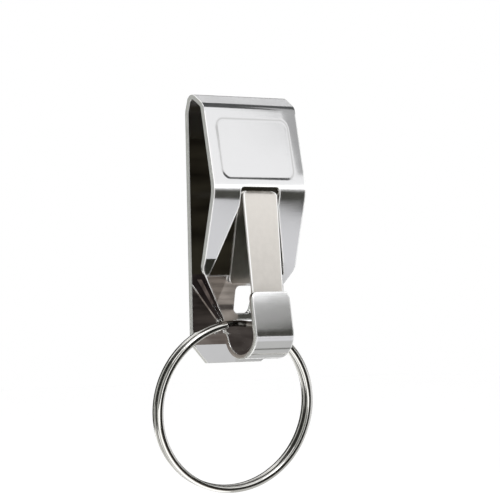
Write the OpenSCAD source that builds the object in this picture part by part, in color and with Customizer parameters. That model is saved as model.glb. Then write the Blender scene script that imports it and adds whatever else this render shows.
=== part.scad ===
// Belt key clip in spring steel, millimetres, +Z up, front towards -Y.
// Origin: middle of the back plate's rear face.
// Profiles are drawn as [forward, up]: forward of the rear face, above the plate's foot.

/* [Sheet] */
// Width of the clip body
sheet_w = 32.4; // [28:0.1:38]
// Thickness of the clip body's sheet
sheet_t = 1.3; // [1:0.05:1.5]

/* [Back plate] */
// Height of the flat back plate
plate_h = 64.6; // [62:0.1:66]
// Chamfer on the plate's lower corners, up its sides
corner_cut = 5.1; // [3:0.1:7]
// Run of the right corner's chamfer along the plate's foot
right_cut = 8.6; // [5:0.1:9]
// Width of the window behind the foot's slot
window_w = 11; // [9:0.1:14]
// Height of that window
window_h = 8.8; // [6:0.1:10]
// Lower edge of the window below that of the slot
window_low = 0.4; // [0:0.1:1]
// Corner radius of the window
window_r = 1.5; // [0.5:0.1:3]

/* [Top fold] */
// Outer radius of the fold over the belt
fold_r = 2.1; // [1.9:0.05:2.5]
// Centre of the fold, forward of the rear face
fold_fwd = 2.93; // [2.8:0.01:3.4]
// Centre of the fold above the flat plate
fold_rise = 4; // [3.4:0.1:5.4]
// Forward lean of the sheet where it enters the fold, degrees
fold_lean = 17; // [12:0.5:20]
// Fall of the roll where it meets the panel, degrees
roll_fall = 35; // [30:1:45]

/* [Front panel] */
// Front of the lower bend, forward of the rear face
bend_fwd = 11.4; // [10.5:0.05:12]
// Height of the lower bend
bend_up = 45.4; // [44:0.1:47]
// Outward lean of the panel, degrees
panel_lean = 10; // [8:0.5:11]
// Width of the pressed frame on the panel
frame_w = 25.6; // [20:0.1:26]
// Height of the pressed frame along the panel
frame_h = 16.4; // [14:0.1:17]
// Corner radius of the pressed frame
frame_r = 2.6; // [1:0.1:3]
// Width of the pressed line
line_w = 0.5; // [0.3:0.05:0.8]
// Depth of the pressed line
line_depth = 0.2; // [0.1:0.05:0.4]

/* [Apron] */
// Height where the sides start to close in
turn_up = 25.6; // [24:0.1:27]
// Height where the closing sides reach the strip's width
taper_up = 12.2; // [11:0.1:13]
// Half width of the gate's window in the bend
mouth_half = 6.75; // [6.5:0.05:7.5]
// Top edge of that window above the lower bend
mouth_rise = 0.8; // [0.4:0.1:1.6]
// Height where the window starts to widen, below the lower bend
flare_drop = 4.4; // [3.4:0.1:7]
// Width of each side leg at the foot of the opening
leg_w = 0.72; // [0.5:0.02:2]
// Foot of the opening below that turn
foot_edge = 2.5; // [1.5:0.1:4]
// Corner radius of the opening
mouth_r = 1.1; // [0.6:0.1:1.5]

/* [Foot and hook] */
// Backward lean of the foot, degrees
foot_lean = 17.4; // [16.5:0.1:18]
// Inner radius of the heel that bears on the back plate
heel_r = 8; // [6:0.1:9]
// Forward lean of the strip below the heel, degrees
heel_lean = 20; // [18:0.5:24]
// Width of the strip, the hook and the tongue
strip_w = 13.3; // [12:0.1:15]
// Inner radius of the hook
hook_r = 5; // [4.6:0.05:5.2]
// Centre of the hook, forward of the rear face
hook_fwd = 9.4; // [9.2:0.05:9.8]
// Centre of the hook above the plate's foot
hook_up = 7.1; // [6.8:0.1:7.5]
// Backward lean of the tongue, degrees
tongue_lean = 8; // [7:0.5:9.5]
// Height of the tongue's tip above the plate's foot
tongue_up = 18.4; // [17:0.1:19]
// Corner radius of the tongue
tongue_r = 1.9; // [0.8:0.1:2.5]
// Width of the slot in the foot
slot_w = 5.8; // [5:0.1:8]
// Sheet left between that slot and the opening
bridge_h = 2.9; // [2.7:0.1:5]
// Lower end of the slot above the plate's foot
slot_up = 13; // [12.8:0.1:13.6]
// Corner radius of the slot
slot_r = 1.3; // [0.6:0.1:2]

/* [Gate] */
// Thickness of the gate's spring sheet
gate_t = 0.7; // [0.5:0.05:0.8]
// Outer radius of the gate's fold
gate_fold_r = 1.15; // [1.05:0.05:1.3]
// Centre of the gate's fold behind the lower bend
gate_set = 1.55; // [1.5:0.05:1.7]
// Centre of the gate's fold below the window's top edge
gate_drop = 2.1; // [1.9:0.1:2.6]
// Clearance of the front leaf behind the tongue's tip
tongue_gap = 0.2; // [0.15:0.05:0.5]
// Clearance of the rear leaf before the foot's upper edge
foot_gap = 0.12; // [0.1:0.01:0.4]
// Half width of the gate at its fold
gate_top_half = 5.95; // [5.5:0.05:6.1]
// Half width of the front leaf at its tip
gate_tip_half = 5.35; // [5:0.05:6]
// Half width of the rear leaf at its tip
spring_tip_half = 7.1; // [6:0.05:7.3]
// Tip of the front leaf below the tongue's tip
gate_reach = 2; // [1:0.1:3.4]
// Tip of the rear leaf below the foot's upper edge
spring_reach = 2.2; // [1:0.1:2.4]
// Corner radius of the leaves' tips
leaf_r = 0.9; // [0.4:0.1:1.5]

/* [Split ring] */
// Outer diameter of the ring
ring_od = 46; // [43:0.1:46.6]
// Wire of the ring, measured towards the ring's centre
wire_radial = 1.75; // [1.4:0.05:2]
// Wire of the ring, measured along the ring's axis
wire_axial = 1.7; // [1.4:0.05:1.8]
// Gap between the ring's two turns
turn_gap = 0.45; // [0.42:0.01:0.6]
// Centre of the ring to the side of the clip's middle
ring_side = -4.6; // [-5:0.1:-4]
// Centre of the ring, forward of the rear face
ring_fwd = 3.6; // [3.5:0.05:4]
// Centre of the ring above the plate's foot
ring_up = -11.6; // [-11.8:0.1:-11]
// Turn of the ring about the upright, degrees
ring_yaw = 14; // [12:0.5:15]
// Forward lean of the ring's top, degrees
ring_tilt = 8.4; // [7:0.1:9.5]
// Place of the wire's ends, degrees round from the ring's right side
ring_cut = 99; // [90:1:110]
// Stretch in which the wire steps from one turn to the other, degrees
step_arc = 28; // [20:1:40]

/* [Hidden] */

overrun = 1;
// Flat faces that part when a leaf flexes
part_gap = 0.08;
// Clearance of the heel from the back plate
heel_gap = 0.05;
// Inner radii of the small bends
neck_r = 5;
crease_r = 0.6;
bend_r = 1.1;
turn_r = 6;
// Degrees of bend for each facet of a bent face
bend_step = 7;
// Bevel on the ring's wire
wire_bevel = 0.35;
// Facets round one turn of the ring, and the wire's loose ends short of the step, degrees
ring_facets = 80;
end_short = 1.5;
// The ring's swing line in the hook, behind and below its wire
pivot_back = 1;
pivot_drop = 0.5;
origin_up = plate_h / 2;
fold_up = plate_h + fold_rise;
window_up = slot_up - window_low;
flare_foot = turn_up - foot_edge;
slot_h = flare_foot - bridge_h - slot_up;
mouth_up = bend_up + mouth_rise;
flare_up = bend_up - flare_drop;
// Half width of the closing sides at a height below the turn
function side_half(up) =
    (strip_w + (sheet_w - strip_w) * (up - taper_up) / (turn_up - taper_up)) / 2;
flare_half = side_half(flare_foot) - leg_w;
gate_fold_fwd = bend_fwd - gate_set;
gate_fold_up = mouth_up - gate_drop;
gate_tip_up = tongue_up - gate_reach;
spring_tip_up = flare_foot - spring_reach;

// Directions of travel along the body's outer face, degrees from forward
up_dir = 90;
neck_dir = up_dir - fold_lean;
roll_dir = -roll_fall;
panel_dir = panel_lean - 90;
foot_dir = -90 - foot_lean;
heel_dir = heel_lean - 90;
tongue_dir = 90 + tongue_lean;

function along(p, dir, length) = [p[0] + length * cos(dir), p[1] + length * sin(dir)];
function at_height(p, dir, height) = [p[0] + (height - p[1]) / tan(dir), height];
function at_forward(p, dir, forward) = [forward, p[1] + (forward - p[0]) * tan(dir)];
// Where the line from p along dp crosses the line from q along dq
function crossing(p, dp, q, dq) =
    along(p, dp, ((q[0] - p[0]) * sin(dq) - (q[1] - p[1]) * cos(dq)) / sin(dq - dp));
// Direction from p to q of a line that keeps a distance r to the left of q, or -r to the left of p
function tangent_dir(p, q, r) = atan2(q[1] - p[1], q[0] - p[0]) + asin(r / norm(q - p));
// Side of a bend: 1 turns left, -1 turns right
function bend_side(dir_in, dir_out) = dir_out > dir_in ? 1 : -1;
// Point on a bend's face where the travel points along dir
function on_bend(c, r, dir, side) = [c[0] + side * r * sin(dir), c[1] - side * r * cos(dir)];
// Centre of a bend of radius r whose two straight faces cross at v
function bend_centre(v, dir_in, dir_out, r) =
    let (start = along(v, dir_in, -r * tan(abs(dir_out - dir_in) / 2)))
    on_bend(start, -r, dir_in, bend_side(dir_in, dir_out));
// A bend: centre, inner radius, direction in, direction out
function bend_at(v, dir_in, dir_out, inner, t) =
    let (outer_face = bend_side(dir_in, dir_out) < 0 ? t : 0)
    [bend_centre(v, dir_in, dir_out, inner + outer_face), inner, dir_in, dir_out];
// Points of one bend's face, depth t below the outer face of a sheet of thickness sheet
function bend_face(b, sheet, depth) =
    let (side = bend_side(b[2], b[3]),
         r = b[1] + (side > 0 ? depth : sheet - depth),
         n = max(2, ceil(abs(b[3] - b[2]) / bend_step)))
    [for (k = [0:n]) on_bend(b[0], r, b[2] + (b[3] - b[2]) * k / n, side)];
function reversed(list) = [for (k = [len(list) - 1:-1:0]) list[k]];
// Outline of a bent sheet between two end points of its outer face
function sheet_outline(bends, start, finish, t) =
    concat([start], [for (b = bends) each bend_face(b, t, 0)], [finish],
           [along(finish, bends[len(bends) - 1][3] - 90, t)],
           reversed([for (b = bends) each bend_face(b, t, t)]),
           [along(start, bends[0][2] - 90, t)]);

// Body profile, from the back plate over the fold and down to the tongue
fold_centre = [fold_fwd, fold_up];
neck_line = on_bend(fold_centre, fold_r, neck_dir, -1);
roll_line = on_bend(fold_centre, fold_r, roll_dir, -1);
neck_point = at_forward(neck_line, neck_dir, 0);
bend_point = [bend_fwd, bend_up];
crease_point = crossing(roll_line, roll_dir, bend_point, panel_dir);
hook_centre = [hook_fwd, hook_up];
heel_fwd = 2 * sheet_t + heel_gap + heel_r;
heel_centre = [heel_fwd, hook_up +
    ((heel_r - hook_r) - (heel_fwd - hook_fwd) * cos(heel_lean)) / sin(heel_lean)];
foot_line = on_bend(heel_centre, heel_r, foot_dir, 1);
turn_point = at_height(foot_line, foot_dir, turn_up);
apron_dir = atan2(turn_point[1] - bend_point[1], turn_point[0] - bend_point[0]);
tongue_line = on_bend(hook_centre, hook_r, tongue_dir, 1);
tongue_tip = at_height(tongue_line, tongue_dir, tongue_up);
leaf_start = [0, plate_h + part_gap];
body_bends = [
    bend_at(neck_point, up_dir, neck_dir, neck_r, sheet_t),
    [fold_centre, fold_r - sheet_t, neck_dir, roll_dir],
    bend_at(crease_point, roll_dir, panel_dir, crease_r, sheet_t),
    bend_at(bend_point, panel_dir, apron_dir, bend_r, sheet_t),
    bend_at(turn_point, apron_dir, foot_dir, turn_r, sheet_t),
    [heel_centre, heel_r, foot_dir, heel_dir],
    [hook_centre, hook_r, heel_dir, tongue_dir]
];
// Between the foot's face and the tongue's, for cuts that reach only one of them
throat_fwd = hook_fwd;

// Gate profile, from the rear leaf's tip over the fold to the front leaf's tip
gate_centre = [gate_fold_fwd, gate_fold_up];
foot_rest = at_height(foot_line, foot_dir, flare_foot) + [foot_gap, 0];
spring_dir = tangent_dir(foot_rest, gate_centre, gate_fold_r);
gate_dir = tangent_dir(gate_centre, tongue_tip - [tongue_gap, 0], -gate_fold_r);
spring_tip = at_height(on_bend(gate_centre, gate_fold_r, spring_dir, -1), spring_dir, spring_tip_up);
gate_root = along(on_bend(gate_centre, gate_fold_r, gate_dir, -1), gate_dir, part_gap);
gate_tip = at_height(gate_root, gate_dir, gate_tip_up);
gate_bends = [[gate_centre, gate_fold_r - gate_t, spring_dir, gate_dir]];

wire_circle = (ring_od - wire_radial) / 2;
turn_pitch = wire_axial + turn_gap;

// Sheet profile, drawn as [forward, up], made w wide across the clip
module bent_sheet(outline, w) {
    rotate([90, 0, 90])
        linear_extrude(w, center = true)
            polygon([for (p = outline) [-p[0], p[1] - origin_up]]);
}

// Front outline, drawn as [side, up], cut between two distances forward
module cut_through(near_fwd, far_fwd) {
    translate([0, -near_fwd, -origin_up])
        rotate([90, 0, 0])
            linear_extrude(far_fwd - near_fwd)
                children();
}

module round_rect(w, h, r) {
    for (x = [r - w / 2, w / 2 - r], y = [r, h - r])
        translate([x, y])
            circle(r, $fn = 48);
    translate([-w / 2, r])
        square([w, h - 2 * r]);
    translate([r - w / 2, 0])
        square([w - 2 * r, h]);
}

// Waste outside two rounded tip corners, with the tip at height up; dir 1 for an upper tip
module tip_corners(half, up, r, dir) {
    for (side = [-1, 1])
        translate([side * (half - r), up - dir * r])
            difference() {
                translate([side > 0 ? 0 : -r - overrun, dir > 0 ? 0 : -r - overrun])
                    square(r + overrun);
                circle(r, $fn = 48);
            }
}

module back_plate() {
    half = sheet_w / 2;
    color("#b9bbbe")
        difference() {
            cut_through(0, sheet_t)
                polygon([[corner_cut - half, 0], [half - right_cut, 0], [half, corner_cut],
                         [half, plate_h], [-half, plate_h], [-half, corner_cut]]);
            cut_through(-overrun, sheet_t + overrun)
                translate([0, window_up])
                    round_rect(window_w, window_h, window_r);
        }
}

// Waste beside the foot: the sides close in from the turn to the strip
module foot_sides() {
    for (side = [-1, 1])
        polygon([[side * (sheet_w / 2 + overrun), turn_up], [side * sheet_w / 2, turn_up],
                 [side * strip_w / 2, taper_up], [side * strip_w / 2, -overrun],
                 [side * (sheet_w / 2 + overrun), -overrun]]);
}

// Opening for the gate: a window in the bend that flares out below
module gate_mouth() {
    translate([0, flare_up])
        round_rect(2 * mouth_half, mouth_up - flare_up, mouth_r);
    polygon([[-mouth_half, flare_up + mouth_r], [mouth_half, flare_up + mouth_r],
             [mouth_half, flare_up], [flare_half, flare_foot],
             [-flare_half, flare_foot], [-mouth_half, flare_up]]);
}

// Pressed frame line on the leaning panel
module frame_line() {
    panel_mid = (bend_up + crease_point[1]) / 2;
    on_panel = at_height(bend_point, panel_dir, panel_mid);
    translate([0, -on_panel[0], on_panel[1] - origin_up])
        rotate([90 - panel_lean, 0, 0])
            translate([0, -frame_h / 2, -line_depth])
                linear_extrude(line_depth + overrun)
                    difference() {
                        round_rect(frame_w, frame_h, frame_r);
                        translate([0, line_w])
                            round_rect(frame_w - 2 * line_w, frame_h - 2 * line_w, frame_r - line_w);
                    }
}

module front_leaf() {
    deep = bend_fwd + fold_fwd;
    far_fwd = hook_fwd + hook_r + sheet_t + overrun;
    color("#e4e5e8")
        difference() {
            bent_sheet(sheet_outline(body_bends, leaf_start, tongue_tip, sheet_t), sheet_w);
            cut_through(-overrun, throat_fwd)
                foot_sides();
            cut_through(throat_fwd - overrun, far_fwd)
                for (side = [-1, 1])
                    translate([side > 0 ? strip_w / 2 : -sheet_w / 2 - overrun, -overrun])
                        square([(sheet_w - strip_w) / 2 + overrun, turn_up]);
            cut_through(sheet_t, deep)
                gate_mouth();
            cut_through(sheet_t / 2, throat_fwd)
                translate([0, slot_up])
                    round_rect(slot_w, slot_h, slot_r);
            cut_through(throat_fwd, far_fwd)
                tip_corners(strip_w / 2, tongue_up, tongue_r, 1);
            frame_line();
        }
}

// Leaf sides that run straight from one half width to another
module leaf_sides(low_up, low_half, high_up, high_half) {
    polygon([[-low_half, low_up], [low_half, low_up], [high_half, high_up],
             [high_half, high_up + gate_fold_r + overrun],
             [-high_half, high_up + gate_fold_r + overrun], [-high_half, high_up]]);
}

module gate_leaf(outline, tip_up, tip_half) {
    far_fwd = gate_tip[0] + overrun;
    difference() {
        intersection() {
            bent_sheet(outline, sheet_w);
            cut_through(sheet_t, far_fwd)
                leaf_sides(tip_up, tip_half, gate_fold_up, gate_top_half);
        }
        cut_through(sheet_t, far_fwd)
            tip_corners(tip_half, tip_up, leaf_r, -1);
    }
}

module gate_spring() {
    color("#8d8d88")
        gate_leaf(concat([spring_tip], bend_face(gate_bends[0], gate_t, 0),
                         reversed(bend_face(gate_bends[0], gate_t, gate_t)),
                         [along(spring_tip, spring_dir - 90, gate_t)]),
                  spring_tip_up, spring_tip_half);
}

module gate() {
    color("#d3cec8")
        gate_leaf([gate_root, gate_tip, along(gate_tip, gate_dir - 90, gate_t),
                   along(gate_root, gate_dir - 90, gate_t)],
                  gate_tip_up, gate_tip_half);
}

// Offset of the wire from the ring's middle plane, at an angle travelled from its front end
function turn_offset(angle) =
    let (share = min(1, max(0, (angle - (360 - step_arc - end_short)) / step_arc)))
    turn_pitch / 2 * cos(180 * share);
// Eight-sided section of the wire, as [outward, forward]
wire_section = [for (q = [[1, 1, 0], [1, 1, 1], [-1, 1, 1], [-1, 1, 0],
                          [-1, -1, 0], [-1, -1, 1], [1, -1, 1], [1, -1, 0]])
    [q[0] * (wire_radial / 2 - (q[2] > 0 ? wire_bevel : 0)),
     q[1] * (wire_axial / 2 - (q[2] > 0 ? 0 : wire_bevel))]];
wire_sides = len(wire_section);
wire_sweep = 720 - step_arc - 2 * end_short;
wire_rings = ceil(wire_sweep * ring_facets / 360);

// Section points of the wire after an angle of travel from its front end
function wire_ring(travel) =
    let (a = ring_cut + travel)
    [for (q = wire_section)
        [(wire_circle + q[0]) * cos(a), -(turn_offset(travel) + q[1]),
         (wire_circle + q[0]) * sin(a)]];
function wire_travel(k) = wire_sweep * k / wire_rings;

module split_ring() {
    points = [for (k = [0:wire_rings]) each wire_ring(wire_travel(k))];
    sides = [for (k = [0:wire_rings - 1], j = [0:wire_sides - 1])
        let (a = k * wire_sides + j, b = k * wire_sides + (j + 1) % wire_sides)
        each [[a, b, b + wire_sides], [a, b + wire_sides, a + wire_sides]]];
    last = wire_rings * wire_sides;
    ends = [for (j = [1:wire_sides - 2]) each [[0, j + 1, j], [last, last + j, last + j + 1]]];
    color("#c9c9c6")
        translate([ring_side, -ring_fwd, ring_up - origin_up])
            rotate([ring_tilt, 0, -ring_yaw])
                polyhedron(points, concat(sides, ends));
}

// Least gap between the ring's turns: each section against those one turn on, in degrees
gap_step = 3;
gap_reach = 3;
least_gap = min([for (t = [0:gap_step:wire_sweep - 360], m = [-gap_reach:gap_reach])
    if (t + 360 + m <= wire_sweep)
        min([for (p = wire_ring(t), q = wire_ring(t + 360 + m)) norm(p - q)])]);

// Pivots, as [side, back, up] in the part's frame
jaw_pivot = [0, 0, plate_h + part_gap - origin_up];
gate_heel = along(on_bend(gate_centre, gate_fold_r, gate_dir, -1), gate_dir - 90, gate_t);
gate_pivot = [0, -gate_heel[0], gate_heel[1] - origin_up];
ring_run = -ring_side / cos(ring_yaw);
ring_rise = sqrt(wire_circle * wire_circle - ring_run * ring_run);
ring_pivot = [0, pivot_back - (ring_fwd + ring_run * sin(ring_yaw) + ring_rise * sin(ring_tilt)),
              ring_up + ring_rise * cos(ring_tilt) - pivot_drop - origin_up];
echo(least_gap = least_gap, jaw_pivot = jaw_pivot, gate_pivot = gate_pivot, ring_pivot = ring_pivot);

back_plate();
front_leaf();
gate_spring();
gate();
split_ring();
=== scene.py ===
import itertools
import math

import bpy
import numpy as np
from mathutils import Matrix, Vector


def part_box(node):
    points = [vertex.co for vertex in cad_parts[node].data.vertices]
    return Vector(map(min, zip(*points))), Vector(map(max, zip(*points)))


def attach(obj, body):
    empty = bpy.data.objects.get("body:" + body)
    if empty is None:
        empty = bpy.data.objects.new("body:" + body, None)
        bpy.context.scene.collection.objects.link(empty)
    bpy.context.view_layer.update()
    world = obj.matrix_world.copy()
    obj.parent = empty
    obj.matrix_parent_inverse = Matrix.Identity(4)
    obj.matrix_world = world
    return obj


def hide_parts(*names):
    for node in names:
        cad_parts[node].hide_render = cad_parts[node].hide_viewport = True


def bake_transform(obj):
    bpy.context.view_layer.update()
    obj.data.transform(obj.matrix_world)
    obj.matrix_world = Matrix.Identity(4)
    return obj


# Belt key clip. Profiles are [forward, up] in mm: forward of the back plate's rear
# face, above its foot. Surfaces go into the frame in metres at the very end.

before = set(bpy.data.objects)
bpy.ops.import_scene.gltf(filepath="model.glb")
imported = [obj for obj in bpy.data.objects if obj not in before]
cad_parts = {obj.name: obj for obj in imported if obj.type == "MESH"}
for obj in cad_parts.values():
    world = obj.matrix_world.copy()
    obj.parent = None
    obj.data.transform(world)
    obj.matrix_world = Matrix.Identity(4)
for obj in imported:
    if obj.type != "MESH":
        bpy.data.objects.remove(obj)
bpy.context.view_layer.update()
mm = 0.001
tiny = 1e-6
plateLow, plateHigh = (np.array(corner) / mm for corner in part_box("back_plate"))
sheetHalf = plateHigh[0]
sheetThick = plateHigh[1] - plateLow[1]
plateTall = plateHigh[2] - plateLow[2]
print("frame loaded, plate", np.round([2 * sheetHalf, sheetThick, plateTall], 2))


camera = {
    "lens": 201.6, "sensor": 36.0, "imageSide": 500,  # image side in pixels
    "distance": 747.0,  # mm from the lens to the plane of the plate's foot
    "yaw": 41.336, "pitch": -1.334, "roll": 1.255,  # degrees
    "footPixel": (236.703, 362.058),  # where the middle of the plate's foot shows
    "near": 0.05, "far": 50,  # m
}


# The lens stands back from the plate's foot by the distance, and beside and above it by the
# foot pixel's offset from the image's middle, times the distance over the focal length in pixels
def setCamera(c):
    yaw, pitch, roll = (math.radians(c[key]) for key in ("yaw", "pitch", "roll"))
    level = Vector((math.cos(yaw), -math.sin(yaw), 0))
    raised = Vector((math.sin(pitch) * math.sin(yaw), math.sin(pitch) * math.cos(yaw), math.cos(pitch)))
    right = math.cos(roll) * level - math.sin(roll) * raised
    upward = math.sin(roll) * level + math.cos(roll) * raised
    away = Vector((math.cos(pitch) * math.sin(yaw), math.cos(pitch) * math.cos(yaw), -math.sin(pitch)))
    focal = c["imageSide"] * c["lens"] / c["sensor"]
    side = (c["footPixel"][0] - c["imageSide"] / 2) * c["distance"] / focal
    rise = (c["imageSide"] / 2 - c["footPixel"][1]) * c["distance"] / focal
    foot = Vector((0, 0, plateLow[2]))
    place = (foot - side * right - rise * upward - c["distance"] * away) * mm
    data = bpy.data.cameras.new("photoCamera")
    data.lens, data.sensor_width = c["lens"], c["sensor"]
    data.clip_start, data.clip_end = c["near"], c["far"]
    holder = bpy.data.objects.new("photoCamera", data)
    turned = Matrix((right, upward, -away)).transposed().to_4x4()
    holder.matrix_world = Matrix.Translation(place) @ turned
    bpy.context.scene.collection.objects.link(holder)
    bpy.context.scene.camera = holder


studio = {
    "floorUp": -130.0, "floorShade": 1.0, "floorSide": 6000.0,  # mm
    "worldStrength": 1.0,
    "cardRough": 0.9, "cardGloss": 0.1, "uprightUnder": 100,  # a card less high than this stands upright
    "glowDetail": 3, "glowSpread": (0.34, 0.66),  # noise values where a glow is dark and pale
    # lamps: place and size in mm, watts
    "lamps": {
        "softBox1": ((-420, -520, 620), (480, 480), 2.4),
        "softBox2": ((520, 380, 560), (420, 420), 1.6),
        "stripLight": ((106, -120, 28.5), (150, 21), 0.0052),
    },
    # cards round the clip that only its reflections show: place, size in mm, colour
    "cards": {
        "lowCard": ((106, -120, -16.3), (150, 47), (0.055, 0.055, 0.048)),
        "greyCard": ((106, -120, 12.5), (150, 10.6), (0.33, 0.33, 0.32)),
        "highCard": ((264, -123, 312), (300, 400), (0.075, 0.077, 0.077)),
        "roofCard": ((264, 140, 290), (300, 150), (0.54, 0.54, 0.54)),
        "backCard": ((231, 263, 20), (900, 700), (0.02, 0.02, 0.018)),
        "edgeCard": ((-98, 284, 20), (104, 700), (0.02, 0.02, 0.018)),
        "frontCard": ((13, -150, -66), (112, 124), (0.02, 0.02, 0.018)),
        "leftCard": ((-370, -197, 0), (460, 700), (0.08, 0.08, 0.075)),
        "wallCard": ((-173, 103, 0), (250, 240), (0.35, 0.355, 0.34)),
    },
    # grey sheets that lie just above the floor: place, size in mm, colour
    "sheets": {
        "farSheet": ((340, -340, -128), (560, 560), (0.58, 0.58, 0.59)),
        "nearSheet": ((110, -20, -127), (180, 340), (0.42, 0.42, 0.41)),
        "lineSheet": ((95, -46, -126), (60, 16), (0.16, 0.16, 0.15)),
        "rimSheet": ((-67, -150, -127), (70, 70), (0.16, 0.15, 0.13)),
        "ringSheet": ((-95, 140, -129), (240, 190), (0.46, 0.46, 0.44)),
        "strutSheet": ((-14, -138, -125), (90, 60), (0.15, 0.125, 0.105)),
    },
    # painted reflections and painted shade: glowing slabs in and beside the clip, seen by reflections alone:
    # low and high corner in mm, dark and pale colour, and how often a noise goes from one to the other along
    # x and z, per m
    "slabs": {
        "slotSlab": ((-16, -1.6, -8.8), (16, -1.4, 27),
                     (0.006, 0.005, 0.0035), (0.024, 0.021, 0.014), (30, 160)),
        "footGlow": ((-10.5, -9.2, -20.8), (-3.6, -9.0, -11.4),
                     (0.045, 0.038, 0.032), (0.21, 0.18, 0.155), (90, 620)),
        "slotGlow": ((-3.6, -9.2, -20.8), (4, -9.0, -12.5),
                     (0.13, 0.115, 0.10), (0.40, 0.355, 0.315), (90, 620)),
        "bowlSlab": ((-6.6, -13.2, -21.4), (6.6, -3.4, -21.2),
                     (0.045, 0.038, 0.034), (0.09, 0.078, 0.07), (100, 100)),
        "heelSlab": ((-6.6, -6.6, -29.6), (6.6, -6.5, -21.4),
                     (0.04, 0.033, 0.03), (0.085, 0.073, 0.066), (100, 260)),
        "lowSlab": ((-15.1, -1.6, -32.3), (-1.5, -1.4, -27.4),
                    (0.60, 0.60, 0.60), (0.64, 0.64, 0.64), (60, 60)),
        "footLine": ((-1.5, -1.6, -32.3), (8, -1.4, -31.0),
                     (0.50, 0.50, 0.49), (0.58, 0.58, 0.57), (60, 60)),
        "sideSlab": ((16.6, -5.5, -8), (17, -1.4, 34),
                     (0.05, 0.04, 0.03), (0.05, 0.04, 0.03), (60, 60)),
        "footSlab": ((16.6, -3, -32), (17, -1.4, -8),
                     (0.05, 0.04, 0.03), (0.05, 0.04, 0.03), (60, 60)),
        "edgeGlow": ((33.4, -30.2, 26), (45, -30, 70),
                     (0.40, 0.40, 0.40), (0.44, 0.44, 0.44), (30, 30)),
        "rimGlow": ((-15.1, -1.8, -32.3), (-1.5, -1.65, -24.6),
                    (0.12, 0.10, 0.088), (0.30, 0.27, 0.245), (60, 260)),
        "topSlab": ((-13.5, -6.6, -6.6), (4, -2.0, -6.4),
                    (0.02, 0.018, 0.014), (0.05, 0.045, 0.04), (60, 60)),
    },
    # painted reflections and painted shade, the same way: flat glowing shapes in front of the plate:
    # forward in mm, [side, up] corners, dark and pale colour, rate
    "panes": {
        "leafPane": (9.1, [(-14, -11.4), (6, -11.4), (6, 6), (-8, 6), (-8, -6), (-14, -6)],
                     (0.015, 0.016, 0.012), (0.031, 0.032, 0.026), (60, 60)),
        "blackPane": (1.95, [(-15.8, -8.7), (-15.8, -11.0), (-7.0, -20.9), (-4, -20.9), (-4, -8.7)],
                      (0.008, 0.006, 0.006), (0.03, 0.024, 0.022), (200, 200)),
        "cornerPane": (1.95, [(-15.8, -11.7), (-7.6, -20.9), (-7.6, -23.6), (-15.8, -23.6)],
                       (0.01, 0.008, 0.007), (0.05, 0.042, 0.037), (60, 400)),
        "brownPane": (1.9, [(-13.8, -10.2), (-12.2, -10.2), (-7.8, -17.2), (-8.8, -17.2)],
                      (0.05, 0.04, 0.036), (0.16, 0.13, 0.115), (500, 200)),
    },
}


# A new material, its nodes and its shader, with fixed values on some of the shader's sockets
def newMaterial(name, sockets):
    made = bpy.data.materials.new(name)
    made.use_nodes = True
    shader = made.node_tree.nodes["Principled BSDF"]
    for socket, value in sockets.items():
        shader.inputs[socket].default_value = value
    return made, made.node_tree, shader


# A new node with its settings, and fixed values on some of its sockets
def addNode(tree, kind, sockets=(), **settings):
    node = tree.nodes.new(kind)
    for key, value in settings.items():
        setattr(node, key, value)
    for socket, value in dict(sockets).items():
        node.inputs[socket].default_value = value
    return node


def plainMaterial(name, colour):
    finish = {"Roughness": studio["cardRough"], "Specular IOR Level": studio["cardGloss"]}
    return newMaterial(name, {"Base Color": (*colour, 1), **finish})[0]


# A glow for painted reflections and painted shade, from dark to pale with a noise, stretched by its rate
# along x and along z
def glowMaterial(name, dark, pale, rate):
    unlit = {"Base Color": (0, 0, 0, 1), "Specular IOR Level": 0, "Emission Strength": 1}
    made, tree, shader = newMaterial(name, unlit)
    low, high = studio["glowSpread"]
    place = addNode(tree, "ShaderNodeTexCoord")
    stretch = addNode(tree, "ShaderNodeMapping", {"Scale": (rate[0], 0, rate[1])})
    noise = addNode(tree, "ShaderNodeTexNoise", {"Scale": 1, "Detail": studio["glowDetail"]})
    share = addNode(tree, "ShaderNodeMapRange", {"From Min": low, "From Max": high})
    mixed = addNode(tree, "ShaderNodeMix", {"A": (*dark, 1), "B": (*pale, 1)}, data_type="RGBA")
    tree.links.new(place.outputs["Object"], stretch.inputs["Vector"])
    tree.links.new(stretch.outputs["Vector"], noise.inputs["Vector"])
    tree.links.new(noise.outputs["Fac"], share.inputs["Value"])
    tree.links.new(share.outputs["Result"], mixed.inputs["Factor"])
    tree.links.new(mixed.outputs["Result"], shader.inputs["Emission Color"])
    return made


# Puts a stage mesh into the scene; only reflections show it unless it is seen
def stageMesh(name, points, faces, paint, seen=False):
    mesh = bpy.data.meshes.new(name)
    mesh.from_pydata([tuple(Vector(point) * mm) for point in points], [], faces)
    mesh.materials.append(paint)
    holder = bpy.data.objects.new(name, mesh)
    bpy.context.scene.collection.objects.link(holder)
    holder.visible_camera = holder.visible_diffuse = holder.visible_shadow = seen


# A flat card square to its facing: its corners lie half its size either way from its place,
# across level and along the other way
def flatCard(name, place, size, facing, colour, seen=False):
    normal = Vector(facing).normalized()
    across = Vector((-normal.y, normal.x, 0)) if normal.x or normal.y else Vector((1, 0, 0))
    across.normalize()
    along = normal.cross(across) * size[1] / 2
    across, middle = across * size[0] / 2, Vector(place)
    corners = (middle - across - along, middle + across - along,
               middle + across + along, middle - across + along)
    stageMesh(name, corners, [(0, 1, 2, 3)], plainMaterial(name + "Paint", colour), seen)


# A white world, and colours shown as they are
def setWorld(s):
    bpy.context.scene.view_settings.view_transform = "Standard"
    world = bpy.data.worlds.new("studio")
    world.use_nodes = True
    background = world.node_tree.nodes["Background"]
    background.inputs["Color"].default_value = (1, 1, 1, 1)
    background.inputs["Strength"].default_value = s["worldStrength"]
    bpy.context.scene.world = world


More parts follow.
